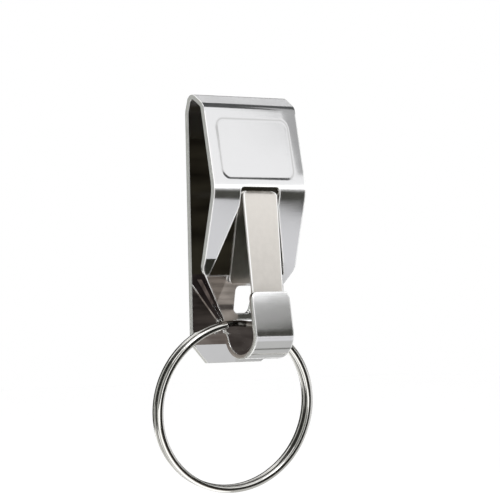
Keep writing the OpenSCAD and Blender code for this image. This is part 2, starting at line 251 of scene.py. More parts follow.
# The floor, the cards, which face the clip, and the sheets, which lie level
def setCards(s):
    floorSize, floorColour = (s["floorSide"],) * 2, (s["floorShade"],) * 3
    flatCard("floor", (0, 0, s["floorUp"]), floorSize, (0, 0, 1), floorColour, True)
    for name, (place, size, colour) in s["cards"].items():
        lift = 0 if abs(place[2]) < s["uprightUnder"] else place[2]
        flatCard(name, place, size, (-place[0], -place[1], -lift), colour)
    for name, (place, size, colour) in s["sheets"].items():
        flatCard(name, place, size, (0, 0, 1), colour)


# The glowing slabs, which are boxes between two corners, and the flat panes
def setGlows(s):
    sides = [(0, 1, 3, 2), (4, 6, 7, 5), (0, 4, 5, 1), (2, 3, 7, 6), (0, 2, 6, 4), (1, 5, 7, 3)]
    for name, (low, high, dark, pale, rate) in s["slabs"].items():
        corners = list(itertools.product(*zip(low, high)))
        stageMesh(name, corners, sides, glowMaterial(name + "Glow", dark, pale, rate))
    for name, (forward, outline, dark, pale, rate) in s["panes"].items():
        corners = [(side, -forward, up) for side, up in outline]
        face = tuple(range(len(corners)))
        stageMesh(name, corners, [face], glowMaterial(name + "Glow", dark, pale, rate))


# The lamps, turned to the middle of the clip
def setLamps(s):
    for name, (place, size, watts) in s["lamps"].items():
        data = bpy.data.lights.new(name, "AREA")
        data.shape, data.energy = "RECTANGLE", watts
        data.size, data.size_y = size[0] * mm, size[1] * mm
        holder = bpy.data.objects.new(name, data)
        holder.location = Vector(place) * mm
        holder.rotation_euler = Vector(place).to_track_quat("Z", "Y").to_euler()
        holder.visible_camera = False
        bpy.context.scene.collection.objects.link(holder)


setCamera(camera)
setWorld(studio)
setCards(studio)
setGlows(studio)
setLamps(studio)
print("camera and studio set")


# Point a length away along a heading in degrees: point + length * (cos, sin)
def along(point, heading, length):
    angle = math.radians(heading)
    return np.array([point[0] + length * math.cos(angle), point[1] + length * math.sin(angle)])


# Point at a height on the line along a heading: forward grows by the rise over the tangent
def atHeight(point, heading, height):
    return np.array([point[0] + (height - point[1]) / math.tan(math.radians(heading)), height])


# Point of an arc where its travel has a heading: centre + side * radius * (sin, -cos), with
# side 1 on a left turn and -1 on a right one
def onBend(centre, radius, heading, side):
    angle, reach = math.radians(heading), side * radius
    return np.array([centre[0] + reach * math.sin(angle), centre[1] - reach * math.cos(angle)])


# Where two lines cross: the reach along the first is the offset between their points crossed
# with the second heading, over the sine of the angle between the headings
def crossing(first, firstHeading, second, secondHeading):
    one, other = math.radians(firstHeading), math.radians(secondHeading)
    forward, rise = second[0] - first[0], second[1] - first[1]
    reach = (forward * math.sin(other) - rise * math.cos(other)) / math.sin(other - one)
    return along(first, firstHeading, reach)


# A bend between two straight outer faces that cross at a corner: it starts its radius times the
# tangent of half the turn before the corner, and its centre lies square to the way in
def cornerBend(corner, headingIn, headingOut, faceRadius):
    side = 1 if headingOut > headingIn else -1
    halfTurn = math.radians(abs(headingOut - headingIn)) / 2
    start = along(corner, headingIn, -faceRadius * math.tan(halfTurn))
    return onBend(start, -faceRadius, headingIn, side), faceRadius, headingIn, headingOut


# Fine table of a bent sheet's outer face: straight runs joined by arcs,
# an arc's point being centre + side * radius * (sin, -cos) of its heading
def bentPath(start, finish, bends, fineRun=0.05, fineTurn=0.5):
    last, finish = np.array(start, float), np.array(finish)
    points, headings = [last[None]], [np.array([bends[0][2]], float)]
    for centre, radius, headingIn, headingOut in bends:
        side = 1 if headingOut > headingIn else -1
        turn = np.linspace(headingIn, headingOut, max(3, int(abs(headingOut - headingIn) / fineTurn)))
        sine, cosine = np.sin(np.radians(turn)), np.cos(np.radians(turn))
        arc = np.stack([centre[0] + side * radius * sine, centre[1] - side * radius * cosine], 1)
        share = np.linspace(0, 1, max(2, int(np.linalg.norm(arc[0] - last) / fineRun)))[1:-1, None]
        points += [last + share * (arc[0] - last), arc]
        headings += [np.full(len(share), headingIn), turn]
        last = arc[-1]
    share = np.linspace(0, 1, max(2, int(np.linalg.norm(finish - last) / fineRun)))[1:, None]
    points.append(last + share * (finish - last))
    headings.append(np.full(len(share), bends[-1][3]))
    points, headings = np.concatenate(points), np.concatenate(headings)
    run = np.concatenate([[0], np.cumsum(np.linalg.norm(np.diff(points, axis=0), axis=1))])
    return {"points": points, "headings": headings, "run": run}


# Rows along a path: one for each unit of run / runStep + degrees turned / turnStep, and the
# wanted ones in place of any that lie within a clear distance of them
def pathRows(path, first, last, wanted, runStep, turnStep=3.0, clear=0.07):
    turned = np.concatenate([[0], np.cumsum(np.abs(np.diff(path["headings"])))])
    load = path["run"] / runStep + turned / turnStep
    ends = np.interp([first, last], path["run"], load)
    rows = np.interp(np.linspace(ends[0], ends[1], int(ends[1] - ends[0]) + 2), load, path["run"])
    wanted = np.unique(np.round(np.clip(np.concatenate([[first, last], wanted]), first, last), 4))
    rows = rows[np.abs(rows[:, None] - wanted[None]).min(1) > clear]
    return np.sort(np.concatenate([rows, wanted]))


# Half width beside a rounded corner, at a depth from its end:
# half - radius + sqrt(radius^2 - (radius - depth)^2), and the full half past the corner
def cornerHalf(half, radius, depth):
    inside = np.clip(radius - depth, 0, radius)
    return half - radius + np.sqrt(radius ** 2 - inside ** 2)


# Depths of rows round a corner, evenly by angle: radius * (1 - cos)
def cornerDepths(radius, count=8):
    return radius * (1 - np.cos(np.linspace(0, math.pi / 2, count)))


# Mean of a shape over a reach either side, which rounds its corners off
def softened(shape, at, reach, count=9):
    shift = np.linspace(-reach, reach, count)
    return np.mean([shape(at + s) for s in shift], axis=0)


# What every edge has, in mm from it
rim = {
    "radius": 0.15, "shareReach": 1.15,  # the edge's rounding, and how many radii its colour reaches
    "steps": np.array([0, 0.02, 0.05, 0.085, 0.12, 0.15, 0.24, 0.34, 0.46]),  # columns and rows beside it
    "squeezeUnder": 2.5,  # a leg narrower than this many last steps draws its columns together
    "pale": (0, 0.12, 0.3, 0.46), "highlightProfile": (0, 1, 1, 0),  # where a painted highlight lies along it
    "sharpFrom": 50,  # degrees between faces
}
rimRows = rim["steps"][1:]


# Columns of a leg between two edges: steps close to each edge, shares between them
def legColumns(left, right, shares):
    squeeze = np.minimum(1, (right - left) / (rim["squeezeUnder"] * rim["steps"][-1]))
    near = rim["steps"][None] * squeeze[:, None]
    low, high = left[:, None] + near, right[:, None] - near[:, ::-1]
    middle = low[:, -1:] + (high[:, :1] - low[:, -1:]) * shares[None]
    return np.concatenate([low, middle, high], 1)


# Takes out an opening's squares: between two runs, and between the rims of a left leg of
# columns and of the right one, which starts a count of columns after it
def cutOpening(kept, rows, start, stop, leg, count):
    centre = (rows[:-1] + rows[1:]) / 2
    opened = (centre > start) & (centre < stop)
    kept[np.ix_(opened, np.arange(leg - 1, leg + count))] = False


# Distance from each flat point to the nearest of some flat edges, a block of points at a time:
# what is left of the offset to an edge's start less its part along the edge, kept within it
def edgeDistance(points, starts, ends, block=3000):
    span = ends - starts
    length = np.maximum((span ** 2).sum(1), tiny ** 2)
    found = []
    for piece in np.array_split(points, max(1, len(points) // block)):
        offset = piece[:, None] - starts[None]
        share = np.clip((offset * span[None]).sum(2) / length, 0, 1)
        found.append(np.sqrt(((offset - share[..., None] * span[None]) ** 2).sum(2).min(1)))
    return np.concatenate(found)


# The kept squares of a grid as quads of points, and their border: the edges, each from point
# to point, that no neighbour has the other way round
def gridSquares(kept, perRow):
    corner = (np.arange(len(kept))[:, None] * perRow + np.arange(perRow - 1)[None])[kept]
    quads = np.stack([corner, corner + 1, corner + 1 + perRow, corner + perRow], 1)
    edges = np.stack([quads, np.roll(quads, -1, 1)], 2).reshape(-1, 2)
    total = (len(kept) + 1) * perRow
    onward, back = edges[:, 0] * total + edges[:, 1], edges[:, 1] * total + edges[:, 0]
    return quads, edges[~np.isin(onward, back)]


# Flat points folded along a path: each goes to the outer face at its run, and from there its
# depth along the heading turned 90 degrees inwards
def foldedPoints(path, flat, depth):
    forward, upward = (np.interp(flat[:, 1], path["run"], path["points"][:, k]) for k in (0, 1))
    inward = np.radians(np.interp(flat[:, 1], path["run"], path["headings"]) - 90)
    forward, upward = forward + depth * np.cos(inward), upward + depth * np.sin(inward) + plateLow[2]
    return np.stack([flat[:, 0], -forward, upward], 1)


# A bent sheet from rows and columns in the flat: each grid point sinks at the rim by
# r - sqrt(r^2 - (r - d)^2), d being its distance to the nearest edge; both faces and a wall
# round every edge. kept says which squares are there, seams which rows stay sharp; press gives
# a depth, satin a share, and bright a painted highlight's share for each face, at flat points.
def bentSheet(name, path, rows, columns, kept, thick, seams=(), press=None, satin=None, bright=None):
    perRow = columns.shape[1]
    flat = np.stack([columns.ravel(), np.repeat(rows, perRow)], 1)
    quads, border = gridSquares(kept, perRow)
    rowOf = border // perRow
    onSeam = (rowOf[:, 0] == rowOf[:, 1]) & np.isin(rowOf[:, 0], list(seams))
    free = border[~onSeam]
    distance = edgeDistance(flat, flat[free[:, 0]], flat[free[:, 1]])
    radius = rim["radius"]
    sink = radius - np.sqrt(radius ** 2 - np.clip(radius - distance, 0, radius) ** 2)
    level = np.zeros(len(flat))
    pressed = press(flat) if press else level
    points = np.concatenate([foldedPoints(path, flat, depth) for depth in (sink + pressed, thick - sink)])
    over = border + len(flat)
    wall = np.stack([border[:, 1], border[:, 0], over[:, 0], over[:, 1]], 1)
    faces = np.concatenate([quads, quads[:, ::-1] + len(flat), wall])
    shine, pale = satin(flat) if satin else level, bright(flat) if bright else (0, 0)
    values = sheetShares(distance, pressed, shine, pale)
    return surface(name, points * mm, faces, values, len(wall))


# A bent sheet's shares for its material, outer face first. Rim: falls off with the distance to
# the edge. Painted shade: 4 p (deepest - p) / deepest^2, which is 1 halfway down the pressed flank.
# Painted highlight: a bump close to the edge, times how bright each face's edge is.
def sheetShares(distance, pressed, satin, bright):
    near = np.clip(rim["shareReach"] - distance / rim["radius"], 0, 1)
    deepest = max(pressed.max(), tiny)
    flank = 4 * pressed * (deepest - pressed) / deepest ** 2
    pale = np.interp(distance, rim["pale"], rim["highlightProfile"])
    none = np.zeros(len(distance))
    faces = {"rimShare": (near, near), "shadeShare": (flank, none), "satinShare": (satin, none),
             "highlightShare": (pale * bright[0], pale * bright[1])}
    return {key: np.concatenate(pair) for key, pair in faces.items()}


# Puts points and quads into a mesh without its loose points. The quads a, b, c, d are turned
# round if their volume, the sum of (a x b) . c + (a x c) . d, is less than nothing; the last
# ones may be flat-shaded
def surface(name, points, quads, values, flat=0):
    used, quads = np.unique(quads, return_inverse=True)
    points, quads = points[used], quads.reshape(-1, 4)
    a, b, c, d = (points[quads[:, k]] for k in range(4))
    if (np.cross(a, b) * c).sum() + (np.cross(a, c) * d).sum() < 0:
        quads = quads[:, ::-1]
    mesh = bpy.data.meshes.new(name)
    mesh.from_pydata(points, [], quads)
    mesh.polygons.foreach_set("use_smooth", np.arange(len(quads)) < len(quads) - flat)
    for key in values:
        share = mesh.attributes.new(key, "FLOAT", "POINT")
        share.data.foreach_set("value", values[key][used].astype(np.float32))
    mesh.update()
    mesh.set_sharp_from_angle(angle=math.radians(rim["sharpFrom"]))
    holder = bpy.data.objects.new(name, mesh)
    bpy.context.scene.collection.objects.link(holder)
    print(name, "made,", len(quads), "faces")
    return holder


# Each metal's shade tone is painted shade, for the pressed field's flank and the flanks between the ring's
# turns; the highlight's metallic level is how metallic the painted highlight along edges stays
steel = {
    "body": {"pale": (0.86, 0.86, 0.868), "deep": (0.80, 0.80, 0.81), "rough": (0.07, 0.13),
             "grain": 0.010, "edge": (0.90, 0.90, 0.885), "shadeTone": (0.6, 0.6, 0.6), "metallic": 1.0,
             "drift": 130, "highlightMetallic": 0.45, "satinRough": 0.16, "grainAlong": (0.6, 30, 30),
             "slot": "body_steel"},
    "gate": {"pale": (0.80, 0.765, 0.72), "deep": (0.65, 0.62, 0.58), "rough": (0.34, 0.44),
             "grain": 0.014, "edge": (0.90, 0.88, 0.85), "shadeTone": (0.4, 0.4, 0.4), "metallic": 0.62,
             "drift": 520, "highlightMetallic": 0.35, "satinRough": 0.0, "grainAlong": (5, 1.2, 1.2),
             "slot": "gate_steel"},
    "ring": {"pale": (0.86, 0.85, 0.82), "deep": (0.80, 0.79, 0.75), "rough": (0.05, 0.09),
             "grain": 0.004, "edge": (0.86, 0.85, 0.82), "shadeTone": (0.10, 0.097, 0.09), "metallic": 1.0,
             "drift": 90, "highlightMetallic": 1.0, "satinRough": 0.0, "grainAlong": (6, 6, 6),
             "slot": "ring_nickel"},
}
# What the metals have in common
drawnMetal = {
    "driftDetail": 4, "grainScale": 160, "grainDetail": 6, "grainRough": 0.65,
    "grainPart": 0.45, "driftPart": 0.75,  # how much of each noise goes into the colour
    "spread": (0.3, 0.7),  # noise values at the smoothest and the roughest
    # The last entry below is the tone of the painted highlight along edges
    "edgeRough": 0.03, "bumpGain": 10, "highlightTone": (0.95, 0.95, 0.94),
}


# Noises of a drawn metal: the grain, a fine noise drawn out along one way, and the sum of a
# part of it and a part of a broad drift
def drawnNoises(tree, s):
    place = addNode(tree, "ShaderNodeTexCoord").outputs["Object"]
    drift = addNode(tree, "ShaderNodeTexNoise", {"Scale": s["drift"], "Detail": drawnMetal["driftDetail"]})
    stretch = addNode(tree, "ShaderNodeMapping", {"Scale": s["grainAlong"]})
    fine = {"Scale": drawnMetal["grainScale"], "Detail": drawnMetal["grainDetail"],
            "Roughness": drawnMetal["grainRough"]}
    grain = addNode(tree, "ShaderNodeTexNoise", fine)
    tree.links.new(place, drift.inputs["Vector"])
    tree.links.new(place, stretch.inputs["Vector"])
    tree.links.new(stretch.outputs["Vector"], grain.inputs["Vector"])
    broad = reckoned(tree, "MULTIPLY", drift.outputs["Fac"], drawnMetal["driftPart"])
    both = reckoned(tree, "MULTIPLY_ADD", grain.outputs["Fac"], drawnMetal["grainPart"], broad)
    return grain.outputs["Fac"], both


# A product or sum of sockets and numbers
def reckoned(tree, operation, *terms):
    node = addNode(tree, "ShaderNodeMath", operation=operation)
    for k, term in enumerate(terms):
        if isinstance(term, (int, float)):
            node.inputs[k].default_value = term
        else:
            tree.links.new(term, node.inputs[k])
    return node.outputs[0]


# A value that goes evenly from one limit to the other while its source goes over a span
def ranged(tree, source, limits, span=(0, 1)):
    ends = {"From Min": span[0], "From Max": span[1], "To Min": limits[0], "To Max": limits[1]}
    node = addNode(tree, "ShaderNodeMapRange", ends)
    tree.links.new(source, node.inputs["Value"])
    return node.outputs["Result"]


# A colour, fixed or from a socket, mixed towards a fixed one by a share
def mixedTone(tree, tone, target, share):
    node = addNode(tree, "ShaderNodeMix", {"B": (*target, 1)}, data_type="RGBA")
    if isinstance(tone, tuple):
        node.inputs["A"].default_value = (*tone, 1)
    else:
        tree.links.new(tone, node.inputs["A"])
    tree.links.new(share, node.inputs["Factor"])
    return node.outputs["Result"]


# Drawn metal. Colour: deep to pale with the noises, then by the mesh's shares towards the edge's tone,
# a painted shade tone on the pressed flank and between the ring's turns, and a painted highlight tone
# along edges. Satin parts and painted highlights are less metallic, and edges and satin parts rougher.
def metal(name, s):
    made, tree, shader = newMaterial(name, {})
    grain, both = drawnNoises(tree, s)
    edge, pressed, pale, satin = (
        addNode(tree, "ShaderNodeAttribute", attribute_name=share).outputs["Fac"]
        for share in ("rimShare", "shadeShare", "highlightShare", "satinShare"))
    colour = mixedTone(tree, s["deep"], s["pale"], both)
    for target, share in ((s["edge"], edge), (s["shadeTone"], pressed), (drawnMetal["highlightTone"], pale)):
        colour = mixedTone(tree, colour, target, share)
    mirrored, faded = ranged(tree, satin, (1, s["metallic"])), ranged(tree, pale, (1, s["highlightMetallic"]))
    rough = ranged(tree, both, s["rough"], drawnMetal["spread"])
    worn = reckoned(tree, "MULTIPLY_ADD", edge, drawnMetal["edgeRough"], rough)
    depth = {"Strength": s["grain"] * drawnMetal["bumpGain"], "Distance": s["grain"] * mm}
    bump = addNode(tree, "ShaderNodeBump", depth)
    tree.links.new(grain, bump.inputs["Height"])
    finish = {"Base Color": colour, "Metallic": reckoned(tree, "MULTIPLY", mirrored, faded),
              "Roughness": reckoned(tree, "MULTIPLY_ADD", satin, s["satinRough"], worn),
              "Normal": bump.outputs["Normal"]}
    for socket, source in finish.items():
        tree.links.new(source, shader.inputs[socket])
    return made


metals = {key: metal(key + "Steel", steel[key]) for key in steel}


def dress(piece, key):
    piece.data.materials.append(metals[key])


print("metals made")


body = {  # mm and degrees
    "foldRadius": 2.1, "foldCentre": (2.93, 68.6), "foldLean": 17.0, "rollFall": 35.0, "neckRadius": 5.0,
    "bendPoint": (11.4, 45.4), "panelLean": 10.0, "creaseRadius": 2.6, "bendRadius": 12.5, "turnRadius": 2.5,
    "turnUp": 26.9, "taperUp": (12.2, 24.4), "turnSoft": 0.9,
    "footLean": 17.4, "heelRadius": 8.0, "heelGap": 0.05, "heelLean": 20.0,
    "hookRadius": 5.0, "hookCentre": (9.4, 7.1), "tongueLean": 8.0, "tongueUp": 18.4, "tongueCorner": 1.9,
    "stripHalf": 6.65, "cornerCut": 5.1, "rightCut": 8.6,
    "window": (5.5, 12.6, 21.4, 1.5),  # half width, foot, top, corner radius
    "slot": (2.9, 13.0, 20.2, 1.3), "slotTopHalf": 3.7,  # the same, and its half width at the top
    "legLeast": 0.3,  # least width of the strip beside an opening
    "mouthHalf": 6.75, "mouthUp": 46.2, "mouthCorner": 1.1,
    "flareUp": 41.0, "flareHalf": 13.7, "flareRight": 12.4, "flareFoot": 23.1,
    # the pressed field: half width and half height, place, corner, depth and softness of its line
    "frameHalf": (12.55, 8.05), "frameUp": 0.2, "frameCorner": 2.5, "pressDepth": 0.085, "pressWidth": 0.25,
    "seamBelow": 0.8,  # from the crease to the seam between the two shown halves
    "flexUp": (0.0305, 0.0338),  # where the fold's flexing starts and ends, in m
    # how bright the painted highlight along the edge is: outside at two heights and before and at the hook,
    # inside round it
    "brightUps": (27.0, 25.2), "brightRuns": (3, 2), "brightOut": (1, 0.22, 0.22, 0), "brightIn": (0, 0.7),
    "satinRun": 3,  # from the hook's lowest line to the fully satin tongue
    # rows and columns of the surface, in mm or as counts
    "rearStep": 1.6, "frontStep": 1.0, "rearColumns": 12, "windowColumns": 10, "mouthColumns": 11,
    "lineRows": np.arange(-0.55, 0.56, 0.11), "cornerRows": np.arange(0.55, 3.2, 0.22),
    "panelColumns": np.concatenate([
        [6.7, 7.8, 8.9, 9.7, 10.1, 10.5, 10.9, 11.3, 11.6, 11.85], np.arange(12.05, 13.1, 0.1),
        [13.3, 13.8, 14.4, 15.1]]),
}


# The whole strip's profile, from the plate's foot over the fold and down to the tongue's tip.
# The neck starts where the fold's tangent meets the plate, and the crease lies where the roll's
# and the panel's lines cross. The heel clears the plate by its gap, and the rise of its centre
# over the hook's makes the two arcs meet at the heel's lean.
def bodyPath(b):
    neckHeading, rollHeading, panelHeading = 90 - b["foldLean"], -b["rollFall"], b["panelLean"] - 90
    footHeading, heelHeading, tongueHeading = -90 - b["footLean"], b["heelLean"] - 90, 90 + b["tongueLean"]
    centre = np.array(b["foldCentre"])
    neckLine = onBend(centre, b["foldRadius"], neckHeading, -1)
    rollLine = onBend(centre, b["foldRadius"], rollHeading, -1)
    neck = along(neckLine, neckHeading, -neckLine[0] / math.cos(math.radians(neckHeading)))
    bend = np.array(b["bendPoint"])
    crease = crossing(rollLine, rollHeading, bend, panelHeading)
    hook = np.array(b["hookCentre"])
    heelForward = 2 * sheetThick + b["heelGap"] + b["heelRadius"]
    lean = math.radians(b["heelLean"])
    rise = ((b["heelRadius"] - b["hookRadius"]) - (heelForward - hook[0]) * math.cos(lean)) / math.sin(lean)
    heel = np.array([heelForward, hook[1] + rise])
    turn = atHeight(onBend(heel, b["heelRadius"], footHeading, 1), footHeading, b["turnUp"])
    apronHeading = math.degrees(math.atan2(turn[1] - bend[1], turn[0] - bend[0]))
    tip = atHeight(onBend(hook, b["hookRadius"], tongueHeading, 1), tongueHeading, b["tongueUp"])
    bends = [
        cornerBend(neck, 90, neckHeading, b["neckRadius"] + sheetThick),
        (centre, b["foldRadius"], neckHeading, rollHeading),
        cornerBend(crease, rollHeading, panelHeading, b["creaseRadius"]),
        cornerBend(bend, panelHeading, apronHeading, b["bendRadius"]),
        cornerBend(turn, apronHeading, footHeading, b["turnRadius"] + sheetThick),
        (heel, b["heelRadius"], footHeading, heelHeading),
        (hook, b["hookRadius"], heelHeading, tongueHeading),
    ]
    return bentPath((0, 0), tip, bends)


strip = bodyPath(body)
runs, ups = strip["run"], strip["points"][:, 1]
topRow, bottomRow = int(np.argmax(ups)), int(len(ups) / 2 + np.argmin(ups[len(ups) // 2:]))
hookRun = runs[bottomRow]


# Run at given heights, on the rear going up, on the front coming down, or on the tongue going up
def rearRun(height):
    return np.interp(height, ups[:topRow], runs[:topRow])


def frontRun(height):
    return np.interp(-np.asarray(height, float), -ups[topRow:bottomRow], runs[topRow:bottomRow])


def tongueRun(height):
    return np.interp(height, ups[bottomRow:], runs[bottomRow:])


# The seam between the two shown halves lies on the flat panel, just below the crease, and the
# pressed field's middle a little above the panel's
creaseEnd = runs[np.nonzero(strip["headings"] <= body["panelLean"] - 90 + tiny)[0][0]]
seamRun = creaseEnd + body["seamBelow"]
fieldRun = 0.5 * (creaseEnd + frontRun(body["bendPoint"][1])) - body["frameUp"]


# Half widths to the left and right of the back plate at a height, with its two cut corners
def plateSides(up):
    left = np.interp(up, [0, body["cornerCut"]], [sheetHalf - body["cornerCut"], sheetHalf])
    right = np.interp(up, [0, body["cornerCut"]], [sheetHalf - body["rightCut"], sheetHalf])
    return left, right


# Half width of an opening with rounded corners between a foot and a top, held beyond them
def openingHalf(up, half, foot, top, corner):
    up = np.clip(up, foot, top)
    return np.minimum(cornerHalf(half, corner, up - foot), cornerHalf(half, corner, top - up))


# The plate, the fold and the top of the panel: a leg of columns from each side to the window,
# and even columns across the window. Only the plate's foot has cut corners.
def makeBackHalf(b):
    half, foot, top, corner = b["window"]
    depths = cornerDepths(corner)
    rounds, rims = (foot + depths, top - depths), (foot - rimRows, top + rimRows)
    wanted = rearRun(np.concatenate([rimRows, [b["cornerCut"]], *rounds, *rims]))
    rows = pathRows(strip, 0, seamRun, wanted, b["rearStep"])
    up = np.interp(rows, runs, ups)
    left, right = plateSides(np.where(rows < rearRun(2 * b["cornerCut"]), up, plateTall))
    inner = openingHalf(up, half, foot, top, corner)
    shares = np.linspace(0, 1, b["rearColumns"] + 2)[1:-1]
    middle = np.linspace(-1, 1, b["windowColumns"] + 2)[None, 1:-1] * inner[:, None]
    legs = legColumns(-left, -inner, shares), legColumns(inner, right, shares)
    columns = np.concatenate([legs[0], middle, legs[1]], 1)
    kept = np.ones((len(rows) - 1, columns.shape[1] - 1), bool)
    cutOpening(kept, rows, *rearRun([foot, top]), legs[0].shape[1], b["windowColumns"])
    piece = bentSheet("backHalf", strip, rows, columns, kept, sheetThick, seams=(len(rows) - 1,))
    dress(piece, "body")
    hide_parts("back_plate")
    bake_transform(piece)
    return piece


# Half width of the front leaf at a height: full width, then closing in from the turn to the strip
def leafSide(up):
    return np.interp(up, body["taperUp"], [body["stripHalf"], sheetHalf])


# Half width of the gate's opening at a height: a window that flares out below
def mouthHalf(up, widest):
    flare = np.interp(up, [body["flareFoot"], body["flareUp"]], [widest, body["mouthHalf"]])
    return cornerHalf(flare, body["mouthCorner"], np.clip(body["mouthUp"] - up, 0, None))


# Pressed field on the panel: a rounded rectangle sunk by depth * (1 - tanh(distance / width)) / 2
def pressedField(flat):
    x, y = np.abs(flat[:, 0]), np.abs(flat[:, 1] - fieldRun)
    halfW, halfH = body["frameHalf"]
    corner = body["frameCorner"]
    over = np.stack([x - halfW + corner, y - halfH + corner])
    distance = np.hypot(*np.maximum(over, 0)) + np.minimum(over.max(0), 0) - corner
    return body["pressDepth"] * 0.5 * (1 - np.tanh(distance / body["pressWidth"]))


# Runs of the front half's rows: those that its corners, rims and pressed line need, and others
def frontRows(b):
    _, slotFoot, slotTop, slotCorner = b["slot"]
    halfH = b["frameHalf"][1]
    wanted = np.concatenate([
        frontRun(b["mouthUp"] - cornerDepths(b["mouthCorner"])), frontRun(b["mouthUp"]) - rimRows,
        frontRun([b["flareUp"], b["flareFoot"], b["turnUp"], *b["taperUp"]]),
        frontRun(b["flareFoot"]) + rimRows,
        frontRun(slotTop - cornerDepths(slotCorner)), frontRun(slotTop) - rimRows,
        frontRun(slotFoot + cornerDepths(slotCorner)), frontRun(slotFoot) + rimRows,
        tongueRun(b["tongueUp"] - cornerDepths(b["tongueCorner"])), tongueRun(b["tongueUp"]) - rimRows,
        fieldRun - halfH + b["lineRows"], fieldRun + halfH + b["lineRows"],
        fieldRun - halfH + b["cornerRows"], fieldRun + halfH - b["cornerRows"]])
    return pathRows(strip, seamRun, runs[-1], wanted, b["frontStep"])


# Outer half widths of the front half: the leaf's softened sides, then the tongue's rounded tip
def outerSides(b, up, onTongue):
    leaf = softened(leafSide, np.where(onTongue, 0, up), b["turnSoft"])
    tongue = cornerHalf(b["stripHalf"], b["tongueCorner"], np.clip(b["tongueUp"] - up, 0, None))
    return np.where(onTongue, tongue, leaf)


# Inner half widths down one side: the gate's mouth to its flare's foot, a taper to the slot in
# the strip, the slot, and the slot's width less a corner along the tongue
def innerSides(b, up, onTongue, outer, widest):
    slotHalf, slotFoot, slotTop, slotCorner = b["slot"]
    mouth = mouthHalf(np.minimum(up, b["mouthUp"]), widest)
    taper = np.interp(up, [slotTop, b["flareFoot"]], [b["slotTopHalf"] - slotCorner, widest])
    slotWide = np.interp(up, [slotFoot, slotTop], [slotHalf, b["slotTopHalf"]])
    slot = openingHalf(up, slotWide, slotFoot, slotTop, slotCorner)
    rounding = 1e-4  # mm, what the rows are rounded to
    half = np.where(up > b["flareFoot"] - rounding, mouth, np.where(up > slotTop, taper, slot))
    return np.minimum(np.where(onTongue, slotHalf - slotCorner, half), outer - b["legLeast"])


# The panel, apron, foot and hook: a leg of columns down each side, and even columns between
# their inner sides, where the mouth and the slot are taken out
def makeFrontHalf(b):
    rows = frontRows(b)
    up = np.interp(rows, runs, ups)
    onTongue = rows > hookRun
    outer = outerSides(b, up, onTongue)
    left, right = (innerSides(b, up, onTongue, outer, b[side]) for side in ("flareHalf", "flareRight"))
    panelHalf = mouthHalf(np.array([b["mouthUp"]]), b["flareHalf"])[0]
    reach = rim["steps"][-1]
    shares = np.sort((b["panelColumns"] - panelHalf - reach) / (sheetHalf - panelHalf - 2 * reach))
    across = np.linspace(0, 1, b["mouthColumns"] + 2)[None, 1:-1]
    middle = -left[:, None] + across * (left + right)[:, None]
    legs = legColumns(left, outer, shares), legColumns(right, outer, shares)
    columns = np.concatenate([-legs[0][:, ::-1], middle, legs[1]], 1)
    kept = np.ones((len(rows) - 1, columns.shape[1] - 1), bool)
    for top, foot in ((b["mouthUp"], b["flareFoot"]), (b["slot"][2], b["slot"][1])):
        cutOpening(kept, rows, frontRun(top), frontRun(foot), legs[0].shape[1], b["mouthColumns"])
    before, after = hookRun - b["brightRuns"][0], hookRun + b["brightRuns"][1]

    # How bright the painted highlight along the edge is on the outer and on the other face
    def edgeShares(flat):
        outside = np.interp(flat[:, 1], [*frontRun(b["brightUps"]), before, hookRun], b["brightOut"])
        return outside, np.interp(flat[:, 1], [before, after], b["brightIn"])

    piece = bentSheet("frontHalf", strip, rows, columns, kept, sheetThick, seams=(0,), press=pressedField,
                      satin=lambda flat: np.clip((flat[:, 1] - hookRun) / b["satinRun"], 0, 1),
                      bright=edgeShares)
    dress(piece, "body")
    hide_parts("front_leaf")
    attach(piece, "front")
    return piece


makeBackHalf(body)
makeFrontHalf(body)


gate = {  # mm and degrees
    "thick": 0.7, "foldRadius": 1.15, "foldCentre": (9.85, 44.1), "frontLean": 3.693, "rearLean": 8.025,
    "topHalf": 5.95, "frontTipHalf": 5.35, "rearTipHalf": 7.1, "frontTip": 16.4, "rearTip": 20.9,
    "frontCorner": 0.9, "rearCorner": 1.3, "shoulder": 1.5, "aside": 0.5,
    "runStep": 0.8, "turnStep": 5.0, "columns": 16,  # rows and columns of the surface
    "flexForward": (0.0092, 0.0103),  # where the fold's flexing starts and ends, in m
}


# Half width of one of the gate's leaves: a taper from the fold to the tip, with rounded corners
def gateLeaf(g, up, tip, tipHalf, corner):
    taper = np.interp(up, [g[tip], g["foldCentre"][1]], [g[tipHalf], g["topHalf"]])
    return taper - g[tipHalf] + cornerHalf(g[tipHalf], g[corner], up - g[tip])


# The hairpin's profile: up the rear leaf, round the fold and down the front leaf
def gatePath(g):
    centre, radius = g["foldCentre"], g["foldRadius"]
    rearHeading, frontHeading = 90 - g["rearLean"], g["frontLean"] - 90
    start = atHeight(onBend(centre, radius, rearHeading, -1), rearHeading, g["rearTip"])
    finish = atHeight(onBend(centre, radius, frontHeading, -1), frontHeading, g["frontTip"])
    return bentPath(start, finish, [(centre, radius, rearHeading, frontHeading)])


